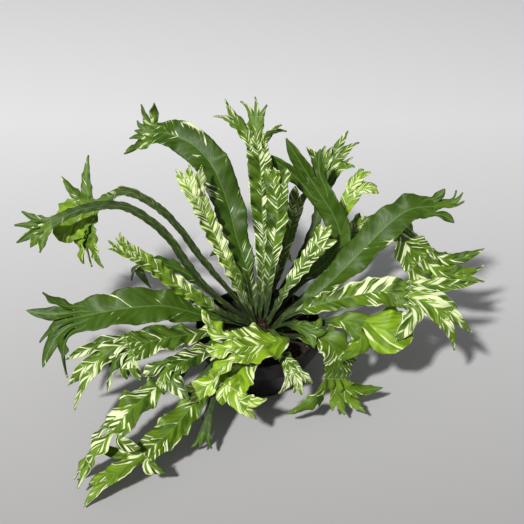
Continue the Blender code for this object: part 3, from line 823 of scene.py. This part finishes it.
def grow_sheet(bearing, row, number):
    """The flat sheet of a frond: its stipe and blade along the spine, then each finger of its crest."""
    ring, heading, fold, (_, lime, _, _, _, rag), spine, fingers = row
    sheet = {label: [] for label in POINT_VALUES + ("points", "faces", "veins", "lift", "thick")}
    sheet.update(tint=lime, forks=0, fold=math.radians(fold), rag=rag, seed=number * SEED_STEP,
                 chance=random.Random(number))
    share = RINGS[ring]
    level = CROWN_RISE * math.sqrt(1 - share * share)
    turn = Matrix.Rotation(math.radians(bearing), 3, "Z")
    away = turn @ Vector((share * CROWN_RISE / crown_radius, 0, level / CROWN_RISE)).normalized()
    start = Vector((crown_top.x, crown_top.y, soil_high.z)) + turn @ Vector((share * crown_radius, 0, level))
    points = [start, start + away * STIPE_RISE] + [crown_top + Vector(spot[:3]) * MM for spot in spine]
    widths = [STIPE_WIDTH, STIPE_WIDTH] + [float(spot[3]) for spot in spine]
    along = stations(points, widths, [0.0, 0.0] + [math.radians(spot[4]) for spot in spine])
    across = Vector((math.sin(math.radians(heading)), -math.cos(math.radians(heading)), 0))
    path, leafy = [], 0.0
    for index, ((middle, width, roll), run) in enumerate(along):
        ahead = (along[min(index + 1, len(along) - 1)][0][0] - along[max(index - 1, 0)][0][0]).normalized()
        normal = Matrix.Rotation(roll, 3, ahead) @ across.cross(ahead).normalized()
        leafy = max(leafy, ease(width, BLADE_FROM, BLADE_FULL))
        path.append((middle, ahead.cross(normal), normal, width * MM / 2, run, leafy))
    shares = [2 * max(1, finger[4]) for finger in fingers]
    fineness = max(1, math.ceil(LEAST_COLUMNS / sum(shares)))
    ends = grow_strip(sheet, None, path, [fineness * share for share in shares], CREST_PARTING)
    side, normal = path[-1][1], path[-1][2]
    for end, finger in zip(ends, fingers):
        grow_finger(sheet, end, ahead, side, normal, finger)
    return sheet


STIPE_THICKNESS = 0.0019
WAVE_UNEVENNESS = 0.6


def make_frond(name, bearing, row, number):
    """Makes the sheet a piece with its attributes, waves its margins, thickens it, sets it on the root body and
    hides its CAD node.
    """
    sheet = grow_sheet(bearing, row, number)
    cream, _, grain, height, length, _ = row[3]
    frond = mesh_piece(name.replace("frond_", "leaf_"), sheet["points"], [], sheet["faces"],
                       [leaf_top, leaf_under])
    veins = frond.data.uv_layers.new(name="veins")
    veins.data.foreach_set("uv", [value for pair in sheet["veins"] for value in pair])
    count = len(sheet["points"])
    values = {label: sheet[label] for label in POINT_VALUES}
    values.update(cream=[cream] * count, grain=[grain] * count, seed=[sheet["seed"]] * count)
    for label, numbers in values.items():
        frond.data.attributes.new(label, "FLOAT", "POINT").data.foreach_set("value", numbers)
    frond.data.attributes.new("lift", "FLOAT_VECTOR", "POINT").data.foreach_set(
        "vector", [part for way in sheet["lift"] for part in way])
    group = frond.vertex_groups.new(name="thick")
    for index, value in enumerate(sheet["thick"]):
        group.add([index], value, "REPLACE")
    run_tree(frond, waves, {"Height": height * MM, "Length": length * MM, "Unevenness": WAVE_UNEVENNESS,
                            "Seed": number * WAVE_STEP, "Material": leaf_top})
    solid = frond.modifiers.new("thick", "SOLIDIFY")
    solid.thickness = STIPE_THICKNESS
    solid.offset = -1.0
    solid.vertex_group = "thick"
    solid.thickness_vertex_group = 0.1
    solid.material_offset = 1
    solid.use_even_offset = False
    settle(frond)
    frond.data.shade_smooth()
    hand_in(frond, [name])


# ---- fronds at the back ----
# Ten upright leaves behind the crown, rooted on its upper rings: broad plain green blades that arch, and narrow
# ones striped with cream to the margin.
# A leaf: ring of the crown, heading, fold, (share of cream, share of lime, streak spacing, wave height, wave
# length, raggedness), spine of (right, back, up, width, roll), fingers of (ahead, aside, lift, width, tips).
# Lengths are in mm and angles in degrees.
fronds = {
    "frond_back_1": ("high", 92, 14, (0.42, 0.05, 2.1, 2.8, 12, 0.22), [
        (0, 22, 28, 9, 0), (1, 42, 57, 15, 0), (0, 58, 84, 21, 0), (-1, 68, 106, 22, 0),
        (-4, 75, 126, 18, 0)],
        [(35, -22, -10, 9, 2), (35, 7, -10, 10, 3), (13, 17, 1, 6, 2)]),
    "frond_back_2": ("high", 70, 10, (0.34, 0.10, 2.1, 2.4, 12, 0.20), [
        (6, 18, 34, 9, 0), (10, 30, 60, 15, 0), (13, 40, 82, 19, 0), (12, 50, 104, 19, 0)],
        [(14, -2, 0, 13, 2), (13, 3, 0, 10, 1)]),
    "frond_back_3": ("high", 122, 12, (-0.14, 0.00, 2.0, 3.4, 38, 0.07), [
        (-10, 26, 25, 10, 0), (-21, 44, 54, 22, -5), (-29, 62, 79, 28, -10), (-40, 76, 103, 30, -15),
        (-56, 88, 119, 30, -20), (-78, 98, 126, 26, -35), (-92, 105, 123, 21, -45)],
        [(22, -14, 3, 11, 2), (18, -1, 10, 10, 3), (5, 14, 12, 12, 2)]),
    "frond_back_4": ("high", 150, 16, (0.70, 0.24, 2.2, 2.4, 12, 0.24), [
        (-20, 13, 26, 9, -20), (-33, 26, 53, 14, -20), (-44, 36, 76, 16, -25), (-53, 42, 96, 16, -25)],
        [(28, 5, -7, 11, 2), (21, 12, -2, 9, 1)]),
    "frond_back_5": ("high", 40, 8, (-0.45, 0.02, 2.0, 2.6, 44, 0.05), [
        (32, 23, 23, 7, 10), (56, 43, 32, 15, 15), (67, 53, 48, 19, 25), (62, 60, 66, 21, 45),
        (47, 69, 88, 22, 55)],
        [(51, -15, 3, 11, 1), (51, 1, 1, 12, 1), (28, 13, -1, 10, 1)]),
    "frond_back_6": ("middle", 72, 12, (0.30, 0.08, 1.8, 2.0, 12, 0.18), [
        (13, 34, 24, 8, 0), (22, 56, 48, 13, 0), (30, 74, 72, 14, 0)],
        [(14, -2, 0, 7, 1), (12, 4, 0, 5, 1)]),
    "frond_back_7": ("high", 18, 14, (0.40, 0.12, 2.1, 2.2, 12, 0.20), [
        (20, 12, 24, 9, 10), (34, 22, 42, 15, 20), (46, 30, 56, 17, 20)],
        [(20, -3, 2, 10, 2), (14, 6, 0, 6, 1)]),
    "frond_back_8": ("middle", 56, 8, (0.18, 0.02, 2.2, 2.2, 16, 0.24), [
        (26, 44, 20, 5, 0), (44, 72, 42, 8, 5), (53, 92, 66, 11, 10), (58, 104, 84, 20, 10)],
        [(19, -15, 4, 9, 1), (27, -3, 0, 10, 2), (36, 12, -5, 10, 2), (16, 15, -5, 9, 2)]),
    "frond_back_9": ("middle", 40, 10, (0.42, 0.50, 2.4, 2.0, 16, 0.20), [
        (34, 42, 14, 5, 0), (56, 66, 34, 8, 10), (71, 82, 57, 12, 20), (81, 92, 73, 16, 20)],
        [(24, 5, -3, 9, 2), (13, 16, -6, 10, 2)]),
    "frond_back_10": ("middle", 26, 10, (0.15, 0.03, 2.0, 1.8, 18, 0.16), [
        (42, 36, 6, 5, 0), (66, 62, 20, 12, 10), (84, 84, 36, 18, 15)],
        [(22, 0, 0, 9, 2), (14, 12, -4, 7, 1)]),
}

# ---- fronds at the left ----
# Seven leaves: two wiry arms that bow over under heavy crests, a narrow striped one, two small ones behind, and
# two broad ones held out flat.
fronds.update({
    "frond_left_1": ("middle", 152, 20, (0.05, 0.10, 2.2, 2.4, 12, 0.25), [
        (-22, 12, 16, 4, -10), (-52, 30, 46, 6, -35), (-72, 42, 71, 6, -45), (-93, 52, 86, 7, -50),
        (-116, 60, 92, 8, -55), (-137, 60, 80, 11, -60)],
        [(25, -49, 0, 13, 2), (35, -39, 1, 11, 0), (46, -13, 6, 27, 0), (19, 33, 10, 9, 1),
         (-8, 39, 3, 9, 1)]),
    "frond_left_2": ("middle", 168, 20, (-0.20, 0.05, 2.0, 1.8, 12, 0.20), [
        (-27, 5, 12, 4, -20), (-48, 12, 29, 6, -40), (-64, 19, 50, 7, -50), (-78, 26, 70, 7, -50),
        (-98, 32, 86, 7, -50), (-118, 37, 92, 7, -50), (-147, 39, 87, 8, -50), (-173, 36, 76, 10, -50)],
        [(22, -13, 0, 10, 2), (33, -5, 4, 7, 1), (29, 8, 6, 7, 1), (19, 14, 6, 6, 1)]),
    "frond_left_3": ("middle", 186, 14, (0.50, 0.22, 2.1, 2.2, 11, 0.22), [
        (-30, -3, 10, 5, -30), (-50, -1, 24, 11, -35), (-68, 0, 38, 14, -35), (-90, 2, 58, 14, -35),
        (-106, 1, 72, 13, -35)],
        [(18, -2, 0, 5, 2), (15, 3, 0, 5, 2)]),
    "frond_left_4": ("low", 142, 10, (-0.10, 0.00, 1.8, 1.8, 20, 0.12), [
        (-36, 30, 0, 4, 0), (-64, 50, 12, 12, 0), (-90, 62, 17, 16, 0), (-106, 67, 14, 14, 0)],
        [(12, -6, -12, 5, 1), (17, 2, -10, 5, 1), (10, 10, -34, 8, 1)]),
    "frond_left_5": ("low", 162, 10, (-0.10, 0.12, 1.8, 2.0, 9, 0.25), [
        (-32, 14, 0, 4, 0), (-52, 24, 3, 10, 0), (-70, 32, 2, 14, 0)],
        [(18, -6, -3, 5, 1), (22, 0, -5, 5, 1), (18, 7, -9, 5, 1)]),
    "frond_left_6": ("low", 184, 8, (-0.12, 0.02, 2.0, 3.2, 34, 0.06), [
        (-28, -1, 2, 4, -20), (-48, -3, 9, 14, -24), (-78, -8, 23, 28, -28), (-106, -15, 27, 32, -28),
        (-130, -20, 26, 30, -24), (-148, -24, 24, 28, -20)],
        [(18, -28, -22, 10, 1), (35, -21, -19, 10, 1), (34, -8, -10, 8, 1), (39, 11, 2, 9, 1),
         (23, 16, 7, 9, 1)]),
    "frond_left_7": ("low", 206, 8, (0.38, 0.06, 2.6, 3.4, 22, 0.14), [
        (-26, -10, -1, 4, -10), (-46, -20, 5, 14, -10), (-76, -36, 13, 26, -14), (-102, -52, 17, 28, -14)],
        [(5, -14, -14, 12, 2), (23, -14, -28, 9, 1), (46, -6, -39, 12, 2), (43, 10, -24, 9, 1)]),
})

# ---- fronds at the front ----
# Nine low leaves that spill over the pot's rim. Three of them hang almost to the ground on thin stipes, and the
# young ones at the crown are lime and cream; part of their lime is a painted glow of light through the thin
# leaf.
fronds.update({
    "frond_front_1": ("low", 226, 10, (0.42, 0.04, 2.2, 2.0, 16, 0.12), [
        (-24, -22, 0, 8, 0), (-40, -40, 5, 18, 0), (-56, -56, 9, 21, 0), (-70, -68, 10, 22, 0)],
        [(3, -19, -11, 12, 1), (12, -8, -11, 11, 2), (17, 6, -8, 11, 1)]),
    "frond_front_2": ("low", 216, 8, (0.38, 0.10, 3.0, 3.2, 20, 0.16), [
        (-24, -20, -6, 3, 0), (-48, -40, -1, 5, 0), (-72, -66, -2, 14, 0), (-95, -94, -4, 28, 0),
        (-110, -112, -12, 24, 0)],
        [(-2, -14, -10, 10, 1), (46, 11, -18, 11, 2), (17, 4, -5, 8, 1)]),
    "frond_front_3": ("low", 240, 8, (0.30, 0.14, 3.0, 2.2, 20, 0.16), [
        (-22, -24, -5, 3, 0), (-38, -50, 2, 5, 0), (-52, -78, -15, 20, 0), (-70, -102, -24, 26, 0),
        (-88, -120, -28, 20, 0)],
        [(-3, -13, -8, 10, 1), (48, 16, -12, 13, 2), (20, 28, 0, 8, 1)]),
    "frond_front_4": ("middle", 250, 12, (0.44, 0.42, 3.0, 3.4, 20, 0.20), [
        (3, -18, 7, 4, 0), (10, -25, 7, 8, 0), (13, -33, 8, 20, -10), (4, -40, 10, 36, -20),
        (-9, -46, 13, 38, -25), (-22, -50, 15, 30, -25)],
        [(20, -16, -14, 11, 1), (20, -3, -7, 12, 2), (20, 22, 9, 13, 1)]),
    "frond_front_5": ("low", 256, 10, (0.66, 0.50, 3.0, 2.2, 20, 0.18), [
        (-9, -30, -3, 5, 0), (-12, -50, 0, 21, 0), (-20, -62, 0, 34, 0), (-27, -72, -3, 36, 0)],
        [(-2, -25, -12, 12, 2), (13, -3, -11, 11, 1), (24, 16, -7, 12, 2)]),
    "frond_front_6": ("low", 248, 8, (-0.30, 0.00, 2.0, 1.6, 16, 0.12), [
        (-18, -28, -6, 3, 0), (-27, -52, -1, 3, 0), (-38, -76, -14, 6, 0), (-44, -94, -32, 9, 0)],
        [(12, -4, -3, 4, 1), (14, 3, 0, 4, 2)]),
    "frond_front_7": ("low", 292, 10, (0.56, 0.10, 2.0, 2.0, 12, 0.24), [
        (12, -30, -4, 4, 0), (19, -46, 0, 12, 0), (25, -58, -4, 15, 0)],
        [(10, -9, -12, 6, 1), (14, 0, -14, 6, 2), (9, 10, -9, 6, 1)]),
    "frond_front_8": ("low", 328, 10, (0.02, 0.12, 2.4, 3.2, 18, 0.30), [
        (24, -14, -4, 4, 0), (42, -22, 2, 14, 10), (55, -30, 3, 26, 15), (61, -41, -6, 30, 15),
        (60, -50, -17, 28, 15)],
        [(4, -26, 16, 9, 1), (18, -21, 12, 12, 2), (28, -5, 1, 9, 2), (23, 9, -9, 9, 2),
         (33, 20, -19, 9, 1)]),
    "frond_front_9": ("middle", 322, 10, (-0.15, 0.08, 2.0, 1.8, 14, 0.22), [
        (20, -11, 7, 5, 10), (32, -18, 10, 12, 20), (39, -22, 9, 13, 25)],
        [(2, -10, 1, 7, 1), (12, -6, 0, 7, 1), (10, 7, -1, 7, 1)]),
})

# ---- fronds at the right ----
# Four leaves: a broad plain blade that arches up, two with cream crests, and one with a round lime lobe.
# All lean out over the rim on bare stipes.
fronds.update({
    "frond_right_1": ("middle", 18, 10, (-0.35, 0.02, 2.0, 3.6, 36, 0.09), [
        (28, 8, 11, 5, 15), (52, 18, 22, 18, 25), (82, 34, 47, 28, 28), (106, 46, 68, 29, 28),
        (124, 52, 79, 26, 25), (144, 55, 80, 20, 25)],
        [(12, -6, 5, 7, 1), (25, -2, 4, 10, 3), (15, 8, -3, 7, 1)]),
    "frond_right_2": ("middle", 356, 14, (0.34, 0.12, 3.0, 3.0, 18, 0.16), [
        (26, 0, 10, 7, 20), (48, -2, 20, 17, 28), (70, -4, 29, 20, 32), (95, -8, 38, 25, 35),
        (117, -12, 38, 26, 35)],
        [(52, -9, -5, 9, 1), (41, 7, -9, 9, 1), (55, 28, -18, 14, 2), (-6, 28, -9, 14, 1)]),
    "frond_right_3": ("low", 346, 8, (0.10, 0.20, 4.4, 3.0, 24, 0.12), [
        (24, -6, 0, 4, 10), (50, -11, 8, 6, 15), (68, -16, 14, 16, 25), (80, -22, 12, 26, 35)],
        [(40, -8, 0, 32, 0), (-2, 28, 8, 13, 1)]),
    "frond_right_4": ("low", 14, 8, (0.28, 0.10, 3.8, 3.4, 22, 0.18), [
        (26, 7, 0, 3, 0), (54, 28, 12, 5, 0), (80, 46, 34, 7, 20), (102, 58, 54, 10, 30),
        (115, 54, 60, 20, 45), (124, 44, 48, 32, 60), (134, 36, 38, 34, 65)],
        [(27, -36, 7, 9, 1), (47, -37, 7, 11, 2), (35, 1, -2, 14, 2)]),
})

# ---- fronds at the rear ----
# Three low green leaves with a few streaks, from the crown's lowest ring.
# They fall behind the pot and fork into three fingers each.
fronds.update({
    "frond_rear_1": ("low", 106, 10, (0.20, 0.06, 2.2, 2.4, 20, 0.12), [
        (-14, 38, 2, 4, 0), (-22, 68, 10, 16, 0), (-28, 94, 5, 22, 0)],
        [(24, -9, -8, 9, 1), (26, 0, -12, 9, 2), (20, 9, -8, 9, 1)]),
    "frond_rear_2": ("low", 86, 10, (0.20, 0.06, 2.2, 2.4, 20, 0.12), [
        (4, 42, 0, 4, 0), (7, 78, 7, 18, 0), (9, 104, -2, 24, 0)],
        [(22, -10, -8, 9, 1), (28, 0, -6, 10, 2), (20, 10, -10, 9, 1)]),
    "frond_rear_3": ("low", 62, 10, (0.20, 0.06, 2.2, 2.4, 20, 0.12), [
        (22, 38, -3, 4, 0), (40, 68, 3, 16, 0), (54, 90, -8, 20, 0)],
        [(20, -8, -6, 8, 1), (24, 1, -4, 9, 2), (17, 10, -8, 8, 1)]),
})

# ---- planting ----
# Every stipe stands on one of the crown's three rings, eased apart from its neighbours. The leaves are grown in
# the order of the sections above, and each one's number seeds its own chances.
bearings = stipe_bearings(fronds)
for number, (name, row) in enumerate(fronds.items()):
    make_frond(name, bearings[name], row, number)
